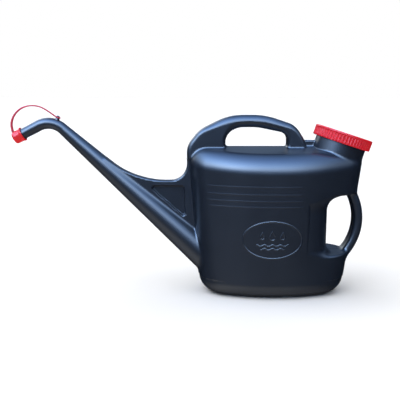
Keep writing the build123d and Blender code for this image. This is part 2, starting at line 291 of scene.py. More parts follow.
def top_handle(x, y, z):
    face = np.maximum(HANDLE_OUTSIDE_FORM.distance(x, z), -HANDLE_HOLE_FORM.distance(x, z))
    edge = HANDLE_FOOT_ROUND + (HANDLE_ROUND - HANDLE_FOOT_ROUND) * smooth(z, 278, 304)
    return meet(face, np.abs(y) - HANDLE_HALF_WIDTH, edge)


def gusset(x, y, z):
    along = np.maximum(GUSSET_X[0] - x, x - GUSSET_X[1])
    upright = np.maximum(GUSSET_Z[0] - z, z - GUSSET_Z[1])
    return meet(np.maximum(along, upright), np.abs(y) - GUSSET_HALF, 2.0)


def web(x, y, z):
    plate = meet(WEB_FORM.distance(x, z), np.abs(y) - WEB_HALF_WIDTH, WEB_ROUND)
    sunk = meet(PANEL_FORM.distance(x, z), PANEL_HALF - np.abs(y), PANEL_FILLET)
    return meet(plate, -sunk, PANEL_EDGE)


def about(x, y, z, origin, axis, across):
    """Height along an axis in the XZ plane, offset from it in that plane, and distance from it."""
    height = (x - origin[0]) * axis[0] + (z - origin[2]) * axis[2]
    side = (x - origin[0]) * across[0] + (z - origin[2]) * across[2]
    return height, side, np.hypot(side, y)


def spout(x, y, z):
    growth = (ROOT_RADIUS - TIP_RADIUS) / (ROOT_RUN - BEND_TANGENT)
    run, _, far = about(x, y, z, BEND_START, TO_TANK, OVER_SPOUT)
    cone = np.maximum(far - TIP_RADIUS - growth * run, run + BEND_TANGENT - END_RUN)
    tip_run, _, far = about(x, y, z, BEND_END, TO_TIP, OVER_TIP)
    tip = np.maximum(far - TIP_RADIUS, tip_run + BEND_TANGENT - NOZZLE_RUN)
    out = np.hypot(x - BEND_CENTRE[0], z - BEND_CENTRE[2]) - BEND_RADIUS
    bend = np.hypot(out, y) - TIP_RADIUS
    in_bend = (run < 0) & (tip_run < 0)
    straight = np.minimum(np.where(run >= 0, cone, np.inf), np.where(tip_run >= 0, tip, np.inf))
    return np.where(in_bend, bend, straight)


NECK_ACROSS = np.array((NECK_AXIS[2], 0.0, -NECK_AXIS[0]))


def about_neck(x, y, z):
    return about(x, y, z, NECK_ORIGIN, NECK_AXIS, NECK_ACROSS)


def neck(x, y, z, radius):
    height, _, far = about_neck(x, y, z)
    return np.maximum(far - radius, np.maximum(height - NECK_RIM, NECK_ROOT - height))


def can(x, y, z, neck_radius):
    form = meet(tank(x, y, z), -hand_recess(x, y, z), RECESS_EDGE)
    form = melt(form, rear_grip(x, y, z), GRIP_MELT)
    form = melt(form, top_handle(x, y, z), HANDLE_MELT)
    form = melt(form, web(x, y, z), WEB_MELT)
    form = melt(form, spout(x, y, z), SPOUT_MELT)
    return melt(form, neck(x, y, z, neck_radius), NECK_MELT)


def drop_shape(u, v, radius, tall):
    """A water drop: a disc below and a tangent point above."""
    lean = radius / tall
    flank = math.sqrt(1 - lean * lean)
    disc = np.hypot(u, v) - radius
    point = np.abs(u) * flank + v * lean - radius
    return np.where(v * flank < np.abs(u) * lean, disc, point)


def badge(x, z):
    """Raised oval ring with three drops over two ripples, from 0 to 1."""
    dx, dz = x - BADGE_CENTRE[0], z - BADGE_CENTRE[1]
    level = np.hypot(dx / BADGE_HALF[0], dz / BADGE_HALF[1]) + 1e-9
    slope = np.hypot(dx / BADGE_HALF[0] ** 2, dz / BADGE_HALF[1] ** 2) / level + 1e-9
    shape = np.abs((level - 1) / slope) - BADGE_RING_HALF
    for side, radius in ((-1, 3.6), (0, 4.8), (1, 3.6)):
        mark = drop_shape(dx - side * 17, dz - 5, radius, radius * 2.3)
        shape = np.minimum(shape, np.abs(mark) - 0.7)
    for low, half in ((-9.0, 27.0), (-15.5, 20.0)):
        ripple = np.abs(dz - low - 1.5 * np.cos(dx * 2 * math.pi / 13.5)) - 0.8
        shape = np.minimum(shape, np.maximum(ripple, np.abs(dx) - half))
    return 1 - smooth(shape, -0.5, 0.5)


def details(x, y, z):
    """How far the fine detail stands out of the plain form."""
    height, _, _ = about_neck(x, y, z)
    fade = smooth(z, 4, 14) * smooth(x, -430, -415) * (1 - smooth(height, -14, -5))
    relief = PARTING_HEIGHT * np.exp(-((y / PARTING_WIDTH) ** 2)) * fade
    on_face = smooth(np.abs(y), 40, 50)
    span = smooth(x, RIB_SPAN[0], RIB_SPAN[0] + 12) * (1 - smooth(x, RIB_SPAN[1] - 12, RIB_SPAN[1]))
    for level in RIB_HEIGHTS:
        relief = relief + RIB_TALL * np.exp(-(((z - level) / RIB_WIDE) ** 2)) * span * on_face
    return relief + BADGE_TALL * badge(x, z) * on_face


def outer_skin(x, y, z):
    return melt(can(x, y, z, NECK_OUTER), gusset(x, y, z), GUSSET_MELT)


def detailed_skin(x, y, z):
    return outer_skin(x, y, z) - details(x, y, z)


def inner_skin(x, y, z):
    return can(x, y, z, NECK_INNER + WALL) + WALL


# ---------------------------------------------------------------- meshes from fields
def surface_net(field, low, high, cell):
    """Quads on the zero level for y >= 0. The first row of cells straddles y = 0."""
    axes = [np.arange(start, stop + cell, cell) for start, stop in zip(low, high)]
    value = field(*np.meshgrid(*axes, indexing="ij", sparse=True))
    inside = value < 0
    shape = tuple(n - 1 for n in value.shape)
    count = np.zeros(shape)
    place = np.zeros((3,) + shape)
    crossings = []
    for axis in range(3):
        second, third = (axis + 1) % 3, (axis + 2) % 3
        ahead = [slice(None)] * 3
        behind = [slice(None)] * 3
        ahead[axis], behind[axis] = slice(1, None), slice(None, -1)
        first, last = value[tuple(behind)], value[tuple(ahead)]
        changed = inside[tuple(behind)] != inside[tuple(ahead)]
        share = np.where(changed, first / np.where(changed, first - last, 1), 0)
        crossings.append((changed, inside[tuple(behind)]))
        for step_two in (0, 1):
            for step_three in (0, 1):
                part = [slice(None)] * 3
                part[second] = slice(step_two, step_two + shape[second])
                part[third] = slice(step_three, step_three + shape[third])
                here = changed[tuple(part)]
                count += here
                place[axis] += share[tuple(part)]
                place[second] += step_two * here
                place[third] += step_three * here
    used = count > 0
    number = np.full(shape, -1)
    number[used] = np.arange(used.sum())
    cells = np.argwhere(used)
    points = np.array(low) + (cells + (place[:, used] / count[used]).T) * cell
    quads = []
    for axis, (changed, low_inside) in enumerate(crossings):
        second, third = (axis + 1) % 3, (axis + 2) % 3
        nodes = np.argwhere(changed)
        kept = (nodes[:, second] > 0) & (nodes[:, third] > 0)
        nodes = nodes[kept]
        corners = []
        for back_two, back_three in ((1, 1), (0, 1), (0, 0), (1, 0)):
            cell_index = nodes.copy()
            cell_index[:, second] -= back_two
            cell_index[:, third] -= back_three
            corners.append(number[tuple(cell_index.T)])
        quad = np.stack(corners, axis=1)
        outward = low_inside[tuple(nodes.T)]
        quads.append(np.where(outward[:, None], quad, quad[:, ::-1]))
    return points, np.concatenate(quads)


def gradient(points, field):
    slopes = []
    for axis in range(3):
        ahead, behind = points.copy(), points.copy()
        ahead[:, axis] += SLOPE_REACH
        behind[:, axis] -= SLOPE_REACH
        slopes.append((field(*ahead.T) - field(*behind.T)) / (2 * SLOPE_REACH))
    return np.stack(slopes, axis=1)


def settle(points, field, rounds, most):
    """Moves points onto the zero level, along the field's slope."""
    on_plane = np.abs(points[:, 1]) < 1e-4
    for _ in range(rounds):
        slope = gradient(points, field)
        move = field(*points.T) / np.maximum((slope**2).sum(1), 0.1)
        points = points - slope * np.clip(move, -most, most)[:, None]
        points[on_plane, 1] = 0
    return points


def to_bmesh(points, faces):
    mesh = bpy.data.meshes.new("work")
    mesh.from_pydata(points.tolist(), [], [list(map(int, face)) for face in faces])
    work = bmesh.new()
    work.from_mesh(mesh)
    bpy.data.meshes.remove(mesh)
    return work


def from_bmesh(work):
    work.verts.index_update()
    points = np.array([v.co for v in work.verts], float)
    faces = [[v.index for v in face.verts] for face in work.faces]
    work.free()
    return points, faces


def near(work, test):
    """The vertices, edges and faces that lie wholly where test says so, in a fixed order."""
    spot = np.array([v.co for v in work.verts], float)
    hit = test(*spot.T)
    work.verts.index_update()
    faces = [f for f in work.faces if all(hit[v.index] for v in f.verts)]
    edges = dict.fromkeys(e for f in faces for e in f.edges)
    verts = dict.fromkeys(v for f in faces for v in f.verts)
    return [*verts, *edges, *faces]


def cut(work, test, origin, normal, drop=False):
    """Slices the faces that pass test by a plane, and with drop removes what lies beyond it."""
    bmesh.ops.bisect_plane(work, geom=near(work, test), dist=1e-4, plane_co=Vector(origin),
                           plane_no=Vector(normal), clear_outer=drop)


def near_neck(x, y, z):
    height, _, far = about_neck(x, y, z)
    return (far < 60) & (height > -14)


def near_tip(x, y, z):
    run, _, far = about(x, y, z, CORNER, TO_TIP, OVER_TIP)
    return (far < 20) & (run > 40)


def half_skin(field, cell, neck_cut, tip_cut):
    """The half of a skin at y >= 0, open at the neck and at the tip."""
    near_corner, far_corner = (np.array(corner) / MM for corner in CAD_BOX)
    low = (near_corner[0] - SKIN_MARGIN, -cell / 2, -SKIN_MARGIN)
    high = (far_corner[0] + SKIN_MARGIN, far_corner[1] + SKIN_MARGIN, TANK_TOP + SKIN_HEADROOM)
    points, quads = surface_net(field, low, high, cell)
    points[points[:, 1] < cell / 2 * 0.999, 1] = 0
    points = settle(points, field, rounds=3, most=cell / 2)
    work = to_bmesh(points, quads)
    cut(work, near_neck, NECK_ORIGIN + NECK_AXIS * neck_cut, NECK_AXIS, drop=True)
    cut(work, near_tip, CORNER + TO_TIP * tip_cut, TO_TIP, drop=True)
    return work


def by_parting(x, y, z):
    return y < 4


def by_rib(level):
    def test(x, y, z):
        in_span = (x > RIB_SPAN[0] - 3) & (x < RIB_SPAN[1] + 3)
        return (y > FACE_START) & in_span & (np.abs(z - level) < 8)

    return test


def by_badge(x, y, z):
    across = (x - BADGE_CENTRE[0]) / (BADGE_HALF[0] + 4)
    upright = (z - BADGE_CENTRE[1]) / (BADGE_HALF[1] + 4)
    return (y > FACE_START) & (np.hypot(across, upright) < 1)


def refine(work):
    """Adds the edges that the parting ridge, the raised lines and the badge need."""
    for place in (0.7, 1.4):
        cut(work, by_parting, (0, place * PARTING_WIDTH, 0), (0, 1, 0))
    for level in RIB_HEIGHTS:
        for place in (-1.6, -0.7, 0.0, 0.7, 1.6):
            cut(work, by_rib(level), (0, 0, level + place * RIB_WIDE), (0, 0, 1))
    edges = [part for part in near(work, by_badge) if isinstance(part, bmesh.types.BMEdge)]
    bmesh.ops.subdivide_edges(work, edges=edges, cuts=2, use_grid_fill=True)
    many_sided = [f for f in work.faces if len(f.verts) > 4]
    bmesh.ops.triangulate(work, faces=many_sided)


def mirrored(points, faces):
    """The half skin and its mirror image, joined along y = 0."""
    on_plane = np.abs(points[:, 1]) < 1e-6
    twin = np.where(on_plane, np.arange(len(points)), 0)
    twin[~on_plane] = len(points) + np.arange((~on_plane).sum())
    both = np.concatenate([points, points[~on_plane] * (1, -1, 1)])
    return both, faces + [[int(twin[i]) for i in reversed(face)] for face in faces]


def open_loop(points, faces, test):
    """The open edge that passes test, as vertex numbers."""
    sides = {side for face in faces for side in zip(face, face[1:] + face[:1])}
    ends = np.array(sorted({a for a, b in sides if (b, a) not in sides}))
    return ends[test(*points[ends].T)]


class Shell:
    """Points and faces gathered into one mesh."""

    def __init__(self, points, faces):
        self.points, self.faces = [points], list(faces)
        self.count = len(points)

    def add(self, points):
        first = self.count
        self.points.append(np.asarray(points, float).reshape(-1, 3))
        self.count += len(self.points[-1])
        return np.arange(first, self.count)

    def add_faces(self, faces, first):
        """Faces whose corners are numbered from first."""
        self.faces += [[int(i) + first for i in face] for face in faces]

    def band(self, low, high):
        """Quads between two rings with as many points."""
        for a, b, c, d in zip(low, np.roll(low, -1), np.roll(high, -1), high):
            self.faces.append([int(a), int(b), int(c), int(d)])

    def zip(self, low, low_turn, high, high_turn):
        """Triangles between two rings with different points, both sorted by their angle."""
        a, b = 0, 0
        low_next = np.append(low_turn, low_turn[0] + 2 * math.pi)
        high_next = np.append(high_turn, high_turn[0] + 2 * math.pi)
        while a < len(low) or b < len(high):
            here, there = int(low[a % len(low)]), int(high[b % len(high)])
            if b == len(high) or (a < len(low) and low_next[a + 1] <= high_next[b + 1]):
                self.faces.append([here, int(low[(a + 1) % len(low)]), there])
                a += 1
            else:
                self.faces.append([here, int(high[(b + 1) % len(high)]), there])
                b += 1


def turned_finish(shell, outer, inner, origin, axis, across, profile):
    """Carries the open edge of the outer skin round a turned profile to the inner skin's edge."""
    upright = np.cross(axis, across)

    def turns(ids, points):
        offset = points[ids] - origin
        return np.arctan2(offset @ upright, offset @ across)

    points = np.concatenate(shell.points)
    outer_turn, inner_turn = turns(outer, points), turns(inner, points)
    outer, outer_turn = outer[np.argsort(outer_turn)], np.sort(outer_turn)
    inner, inner_turn = inner[np.argsort(inner_turn)], np.sort(inner_turn)
    spokes = np.cos(outer_turn)[:, None] * across + np.sin(outer_turn)[:, None] * upright
    ring = outer
    for height, radius in profile:
        new = shell.add(origin + axis * height + spokes * radius)
        shell.band(ring, new)
        ring = new
    shell.zip(ring, outer_turn, inner, inner_turn)


# ---------------------------------------------------------------- mesh helpers
def build_mesh(name, points, faces, material, normals=None):
    """An object in metres from points in millimetres."""
    mesh = bpy.data.meshes.new(name)
    mesh.from_pydata((np.asarray(points) * MM).tolist(), [], faces)
    mesh.validate(clean_customdata=False)
    mesh.polygons.foreach_set("use_smooth", np.ones(len(mesh.polygons), bool))
    mesh.materials.append(material)
    if normals is not None:
        mesh.normals_split_custom_set_from_vertices(normals.tolist())
    piece = bpy.data.objects.new(name, mesh)
    bpy.context.scene.collection.objects.link(piece)
    return piece


def rings_to_faces(rings, segments, closed=False):
    """Quads over a stack of rings, all with as many points."""
    faces = []
    for ring in range(rings if closed else rings - 1):
        low, high = ring * segments, (ring + 1) % rings * segments
        for a in range(segments):
            b = (a + 1) % segments
            faces.append([low + a, low + b, high + b, high + a])
    return faces


def lathe(profile, segments, origin, axis, relief=None):
    """Turns a profile of (height, radius) about an axis. A zero radius at an end closes it."""
    across = unit(np.cross((0.0, 1.0, 0.0), axis))
    upright = np.cross(axis, across)
    height, radius = np.array(profile, float).T
    closed = radius[0] > 0 and radius[-1] > 0
    turn = np.arange(segments) * 2 * math.pi / segments
    height = np.repeat(height[:, None], segments, axis=1)
    radius = np.repeat(radius[:, None], segments, axis=1)
    if relief is not None:
        height, radius = relief(height, radius, turn[None, :])
    spokes = np.cos(turn)[:, None] * across + np.sin(turn)[:, None] * upright
    points = origin + height[..., None] * np.asarray(axis) + radius[..., None] * spokes[None]
    rings = len(profile)
    if closed:
        return points.reshape(-1, 3), rings_to_faces(rings, segments, closed=True)
    inner = points[1:-1].reshape(-1, 3)
    points = np.concatenate([inner, [points[0, 0], points[-1, 0]]])
    faces = rings_to_faces(rings - 2, segments)
    first, last, top = len(inner), len(inner) + 1, (rings - 3) * segments
    for a in range(segments):
        b = (a + 1) % segments
        faces.append([first, b, a])
        faces.append([top + a, top + b, last])
    return points, faces


def swept(section, places, sides, ups):
    """A closed section carried along places, with flat ends. Section points are (side, up)."""
    section = np.asarray(section, float)
    across, upward = section[None, :, :1] * sides[:, None], section[None, :, 1:] * ups[:, None]
    rings = places[:, None] + across + upward
    faces = rings_to_faces(len(places), len(section))
    last = (len(places) - 1) * len(section)
    faces.append(list(range(len(section)))[::-1])
    faces.append([last + i for i in range(len(section))])
    return rings.reshape(-1, 3), faces


def join_parts(parts):
    points, faces, first = [], [], 0
    for part_points, part_faces in parts:
        points.append(part_points)
        faces += [[int(i) + first for i in face] for face in part_faces]
        first += len(part_points)
    return np.concatenate(points), faces


def thread(radius, depth, start, turn):
    """A trapezoid thread about the neck's axis that fades out at both ends."""
    share = np.linspace(0, 1, THREAD_STEPS)
    angle = turn + share * THREAD_TURNS * 2 * math.pi
    tall = np.sqrt(smooth(np.minimum(share, 1 - share), 0, 0.06)) * depth
    base, crest, sink = 1.3, 0.6, -0.3 * math.copysign(1, depth)
    upright = np.cross(NECK_AXIS, NECK_ACROSS)
    spokes = np.cos(angle)[:, None] * NECK_ACROSS + np.sin(angle)[:, None] * upright
    height = start + share * THREAD_TURNS * THREAD_PITCH
    places = NECK_ORIGIN + spokes * radius + NECK_AXIS * height[:, None]
    rings = []
    for side, up in ((sink, -base), (1, -crest), (1, crest), (sink, base)):
        out = tall if side == 1 else np.full(THREAD_STEPS, sink)
        rings.append(places + spokes * out[:, None] + NECK_AXIS * up)
    rings = np.stack(rings, axis=1)
    if depth > 0:
        rings = rings[:, ::-1]
    faces = rings_to_faces(THREAD_STEPS, 4)
    last = (THREAD_STEPS - 1) * 4
    faces += [[3, 2, 1, 0], [last, last + 1, last + 2, last + 3]]
    return rings.reshape(-1, 3), faces


# ---------------------------------------------------------------- materials
def new_material(name, colour, roughness, specular):
    material = bpy.data.materials.new(name)
    material.use_nodes = True
    shader = material.node_tree.nodes["Principled BSDF"]
    shader.inputs["Base Color"].default_value = (*colour, 1)
    shader.inputs["Roughness"].default_value = roughness
    shader.inputs["Specular IOR Level"].default_value = specular
    return material, material.node_tree, shader


def noise(tree, scale, detail):
    coordinates = tree.nodes.new("ShaderNodeTexCoord")
    texture = tree.nodes.new("ShaderNodeTexNoise")
    texture.inputs["Scale"].default_value = scale
    texture.inputs["Detail"].default_value = detail
    tree.links.new(coordinates.outputs["Object"], texture.inputs["Vector"])
    return texture.outputs["Fac"]


def ramp(tree, source, stops):
    node = tree.nodes.new("ShaderNodeValToRGB")
    elements = node.color_ramp.elements
    while len(elements) < len(stops):
        elements.new(0.5)
    for element, (place, colour) in zip(elements, stops):
        element.position = place
        element.color = (*colour, 1)
    tree.links.new(source, node.inputs["Fac"])
    return node.outputs["Color"]


def spread(tree, source, low, high, new_low, new_high):
    """Maps low to high onto new_low to new_high, and holds it at both ends."""
    node = tree.nodes.new("ShaderNodeMapRange")
    values = {"From Min": low, "From Max": high, "To Min": new_low, "To Max": new_high}
    for slot, value in values.items():
        node.inputs[slot].default_value = value
    tree.links.new(source, node.inputs["Value"])
    return node.outputs["Result"]


def product(tree, first, second):
    node = tree.nodes.new("ShaderNodeMath")
    node.operation = "MULTIPLY"
    tree.links.new(first, node.inputs[0])
    tree.links.new(second, node.inputs[1])
    return node.outputs["Value"]


def bump(tree, source, distance, strength, under=None):
    node = tree.nodes.new("ShaderNodeBump")
    node.inputs["Distance"].default_value = distance
    node.inputs["Strength"].default_value = strength
    tree.links.new(source, node.inputs["Height"])
    if under is not None:
        tree.links.new(under, node.inputs["Normal"])
    return node.outputs["Normal"]


def can_plastic():
    """Dark navy blow-moulded polyethylene: satin, faintly wavy, with a fine mould grain."""
    material, tree, shader = new_material("can_plastic", (0.0066, 0.0108, 0.0210), 0.3, 0.5)
    colour = ramp(tree, noise(tree, 9, 2), [
        (0.2, (0.0058, 0.0098, 0.0195)),
        (0.8, (0.0074, 0.0118, 0.0225)),
    ])
    tree.links.new(colour, shader.inputs["Base Color"])
    rough = spread(tree, noise(tree, 22, 1), 0.2, 0.8, 0.285, 0.325)
    tree.links.new(rough, shader.inputs["Roughness"])
    wavy = bump(tree, noise(tree, 16, 1), 0.0010, 0.3)
    grain = bump(tree, noise(tree, 700, 2), 0.00002, 0.4, wavy)
    tree.links.new(grain, shader.inputs["Normal"])
    return material


def red_plastic(name, colour, dark, roughness):
    """Red injection-moulded cap plastic with a slight flow variation and a fine grain."""
    material, tree, shader = new_material(name, colour, roughness, 0.3)
    mixed = ramp(tree, noise(tree, 25, 2), [(0.2, dark), (0.8, colour)])
    tree.links.new(mixed, shader.inputs["Base Color"])
    rough = spread(tree, noise(tree, 60, 2), 0.2, 0.8, roughness - 0.03, roughness + 0.05)
    tree.links.new(rough, shader.inputs["Roughness"])
    grain = bump(tree, noise(tree, 1100, 2), 0.00005, 0.5)
    tree.links.new(grain, shader.inputs["Normal"])
    return material


def foam():
    material, tree, shader = new_material("liner_foam", (0.80, 0.80, 0.76), 0.8, 0.3)
    pores = noise(tree, 1500, 2)
    colour = ramp(tree, pores, [(0.35, (0.62, 0.62, 0.58)), (0.6, (0.82, 0.82, 0.78))])
    tree.links.new(colour, shader.inputs["Base Color"])
    tree.links.new(bump(tree, pores, 0.0002, 0.7), shader.inputs["Normal"])
    return material


# ---------------------------------------------------------------- pieces
def can_moulding(material):
    """The whole can as one closed skin: outside, turned neck finish and spout tip, and inside."""
    work = half_skin(outer_skin, SKIN_CELL, NECK_CUT, TIP_CUT)
    refine(work)
    points, faces = from_bmesh(work)
    points = settle(points, detailed_skin, rounds=4, most=1.0)
    points, faces = mirrored(points, faces)
    normals = gradient(points, detailed_skin)

    bore_points, bore_faces = from_bmesh(half_skin(inner_skin, BORE_CELL, BORE_CUT, TIP_BORE_CUT))
    bore_points, bore_faces = mirrored(bore_points, bore_faces)
    bore_faces = [face[::-1] for face in bore_faces]

    neck_edge = open_loop(points, faces, near_neck)
    tip_edge = open_loop(points, faces, near_tip)
    bore_neck = open_loop(bore_points, bore_faces, near_neck)
    bore_tip = open_loop(bore_points, bore_faces, near_tip)

    shell = Shell(points, faces)
    first = shell.add(bore_points)[0]
    shell.add_faces(bore_faces, first)
    turned_finish(shell, neck_edge, bore_neck + first, NECK_ORIGIN, NECK_AXIS, NECK_ACROSS, [
        (-1.0, NECK_OUTER), (4.0, NECK_OUTER), (9.0, NECK_OUTER), (NECK_RIM - 1.0, NECK_OUTER),
        (NECK_RIM - 0.3, NECK_OUTER - 0.3), (NECK_RIM, NECK_OUTER - 1.0),
        (NECK_RIM, NECK_INNER + 0.8), (NECK_RIM - 0.3, NECK_INNER + 0.2),
        (NECK_RIM - 1.0, NECK_INNER), (8.0, NECK_INNER), (0.0, NECK_INNER), (-6.0, NECK_INNER),
    ])
    bore = TIP_RADIUS - WALL
    turned_finish(shell, tip_edge, bore_tip + first, CORNER, TO_TIP, OVER_TIP, [
        (62.0, TIP_RADIUS), (66.0, TIP_RADIUS), (NOZZLE_RUN - 0.7, TIP_RADIUS),
        (NOZZLE_RUN - 0.2, TIP_RADIUS - 0.2), (NOZZLE_RUN, TIP_RADIUS - 0.7),
        (NOZZLE_RUN, bore + 0.5), (NOZZLE_RUN - 0.2, bore + 0.1), (NOZZLE_RUN - 0.8, bore),
        (66.0, bore), (60.0, bore),
    ])
    ridge_points, ridge_faces = thread(NECK_OUTER, 1.9, 4.5, math.pi / 2)
    shell.add_faces(ridge_faces, shell.add(ridge_points)[0])
    every = np.concatenate(shell.points)
    all_normals = np.zeros_like(every)
    all_normals[: len(points)] = normals / np.linalg.norm(normals, axis=1, keepdims=True)
    piece = build_mesh("can_moulding", every, shell.faces, material, all_normals)
    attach(piece, "can")
    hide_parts("reservoir_front", "reservoir_back", "top_handle", "rear_grip", "filler_neck",
                "handle_gusset", "spout_tube", "spout_nozzle", "spout_web")


CAP_RADIUS, CAP_BORE, CAP_HEIGHT = 49.3, 46.6, 18.5
CAP_RIBS, CAP_RIB_RADIUS, CAP_RIB_FADE = 60, 1.3, 0.25
CAP_CEILING, CAP_DISH = 16.5, 17.8
CAP_BARS, CAP_BAR_TALL = 24, 0.65               # raised bars on the top


def from_nearest(turn, count):
    """Angle from the nearest of count evenly spaced places, without its sign."""
    pitch = 2 * math.pi / count
    return np.abs((turn + pitch / 2) % pitch - pitch / 2)


def cap_relief(height, radius, turn):
    """Half-round ribs on the skirt and a ring of flat bars on the top."""
    off = from_nearest(turn, CAP_RIBS) * CAP_RADIUS
    rib = CAP_RIB_RADIUS * np.sqrt(np.clip(1 - (off / CAP_RIB_RADIUS) ** 2, 0, 1))
    on_skirt = (radius == CAP_RADIUS) & (height > 0.5)
    at_fade = radius == CAP_RADIUS + CAP_RIB_FADE
    radius = radius + rib * np.where(on_skirt, 1.0, np.where(at_fade, 0.8, 0.0))
    on_bar = from_nearest(turn, CAP_BARS) < 2 * math.pi / CAP_BARS * 0.17
    raised = on_bar & (height == CAP_DISH) & (radius > 26.2) & (radius < 38.3)
    return np.where(raised, height + CAP_BAR_TALL, height), radius


def rolled_edge(height, radius, rounding):
    """A quarter turn from the side, at this radius, to the top, at this height."""
    angles = [degrees(turn) for turn in range(0, 91, 15)]
    low, near_axis = height - rounding, radius - rounding
    return [(low + rounding * math.sin(a), near_axis + rounding * math.cos(a)) for a in angles]


def fill_cap(material):
    """Screw cap: ribbed skirt, smooth rolled rim, dished top with a ring of grip bars."""
    top = CAP_RADIUS + CAP_RIB_RADIUS
    profile = [(CAP_CEILING, 0), (CAP_CEILING, 30), (CAP_CEILING, 45.6), (CAP_CEILING - 0.4, 46.4)]
    profile += [(height, CAP_BORE) for height in (CAP_CEILING - 1.2, 9.0, 1.0)]
    profile += [(0.2, CAP_BORE + 0.3), (0.0, CAP_BORE + 0.8)]
    profile += [(0.0, CAP_RADIUS - 0.5), (0.4, CAP_RADIUS)]
    profile += [(height, CAP_RADIUS) for height in (0.9, 3.0, 6.0, 9.0, 12.0, 14.2)]
    profile += [(15.0, CAP_RADIUS + CAP_RIB_FADE), (15.5, top - 0.25), (15.9, top)]
    profile += rolled_edge(CAP_HEIGHT, top, 2.2)
    profile += [(CAP_HEIGHT, 46.6), (CAP_HEIGHT - 0.15, 46.1), (CAP_DISH + 0.1, 45.6)]
    profile += [(CAP_DISH, radius) for radius in (45.0, 42.0, 38.5, 38.1, 31.0, 26.4, 26.0, 21.0)]
    profile += [(CAP_DISH - 0.1, 20.4)]
    profile += [(CAP_DISH - 0.5, radius) for radius in (20.0, 10.0, 2.0)]
    profile += [(CAP_DISH - 0.1, 1.7), (CAP_DISH, 1.2), (CAP_DISH, 0)]
    points, faces = lathe(profile, CAP_RIBS * 8, NECK_ORIGIN, NECK_AXIS, cap_relief)
    ridge = thread(CAP_BORE, -1.9, 3.0, math.pi)
    piece = build_mesh("fill_cap_red", *join_parts([(points, faces), ridge]), material)
    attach(piece, "fill_cap")
    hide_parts("fill_cap")


def fill_cap_liner(material):
    """Foam disc that seals the neck's rim, with a groove pressed into its underside."""
    low, high, radius = NECK_RIM, NECK_RIM + 1.4, 44.6
    profile = [(low, 0), (low, 36.0), (low + 0.12, 36.5), (low + 0.12, 39.5), (low, 40.0)]
    profile += [(low, radius - 0.5), (low + 0.15, radius - 0.1), (low + 0.4, radius)]
    profile += [(high - 0.4, radius), (high - 0.15, radius - 0.1)]
    profile += [(high, radius - 0.5), (high, 20), (high, 0)]
    piece = build_mesh("liner_disc", *lathe(profile, 96, NECK_ORIGIN, NECK_AXIS), material)
    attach(piece, "cap_liner")
    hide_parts("fill_cap_liner")


NOZZLE_CAP_RUN, NOZZLE_CAP_LENGTH = 56.0, 18.0
NOZZLE_CAP_BORE, NOZZLE_CAP_RADIUS = 9.45, 10.7


def nozzle_cap(material):
    """Push-on cap: flange at the mouth, tapered wall with a rolled closed end."""
    end = NOZZLE_CAP_LENGTH
    profile = [(end - 2.5, 0), (end - 2.5, 6.0), (end - 2.5, 8.9), (end - 3.0, NOZZLE_CAP_BORE)]
    profile += [(8.0, NOZZLE_CAP_BORE), (0.8, NOZZLE_CAP_BORE), (0.2, 9.7), (0.0, 10.2)]
    profile += [(0.0, 11.6), (0.2, 12.1), (0.7, 12.3), (1.8, 12.3), (2.3, 12.1)]
    profile += [(2.5, 11.6), (3.0, 11.25), (6.0, 11.13), (10.0, 10.95), (13.5, 10.8)]
    profile += rolled_edge(end, NOZZLE_CAP_RADIUS, 3.2)
    profile += [(end, 6.0), (end - 0.15, 5.6), (end - 0.4, 5.2)]
    profile += [(end - 0.4, 1.2), (end - 0.2, 0.8), (end - 0.2, 0)]
    origin = CORNER + TO_TIP * NOZZLE_CAP_RUN
    piece = build_mesh("nozzle_cap_red", *lathe(profile, 72, origin, TO_TIP), material)
    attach(piece, "nozzle_cap")
    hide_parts("nozzle_cap")
    return piece


STUD_TURN = degrees(22.0)
STUD_ANGLE = math.pi / 2 - SPOUT_SLOPE + STUD_TURN
STUD_AXIS = np.array((math.cos(STUD_ANGLE), 0.0, math.sin(STUD_ANGLE)))
STUD_FOOT = BEND_CENTRE + STUD_AXIS * (BEND_RADIUS + TIP_RADIUS)
BOSS_HEIGHT, STUD_HEIGHT = 3.1, 7.0
STRAP_WIDE, STRAP_THICK = 5.0, 1.8
STRAP_ROOT_THICK = 3.4          # at the nozzle cap
STRAP_ROUTE = [                 # X and Z
    (-455.0, 283.7),
    (-457.4, 292.5),
    (-456.2, 304.5),
    (-449.8, 316.2),
    (-439.0, 325.5),
    (-424.5, 329.8),
    (-408.5, 328.9),
    (-393.5, 321.0),
    (-380.5, 311.0),
]


def strap_stud(material):
    """Boss, shaft and mushroom head that hold the strap's eye."""
    profile = [(-2.5, 0), (-2.5, 4.4), (-0.3, 4.2), (0.6, 3.75), (BOSS_HEIGHT - 0.5, 3.6)]
    profile += [(BOSS_HEIGHT - 0.1, 3.4), (BOSS_HEIGHT, 3.0), (BOSS_HEIGHT + 0.1, 2.0), (5.1, 2.0)]
    profile += [(5.2, 2.9), (5.45, 3.2), (5.8, 3.1), (6.4, 2.5), (6.85, 1.5), (STUD_HEIGHT, 0)]
    piece = build_mesh("stud", *lathe(profile, 40, STUD_FOOT, STUD_AXIS), material)
    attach(piece, "can")
    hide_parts("strap_stud")


def strap_eye(material):
    """Flat ring at the strap's end, round the stud's shaft."""
    low, high = BOSS_HEIGHT, BOSS_HEIGHT + STRAP_THICK
    profile = [(low, 2.7), (low + 0.3, 2.35), (high - 0.3, 2.35), (high, 2.7), (high, 4.5)]
    profile += [(high - 0.2, 4.85), (high - 0.6, 5.0)]
    profile += [(low + 0.6, 5.0), (low + 0.2, 4.85), (low, 4.5)]
    piece = build_mesh("eye_ring", *lathe(profile[::-1], 48, STUD_FOOT, STUD_AXIS), material)
    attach(piece, "can")
    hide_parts("strap_eye")
    return piece


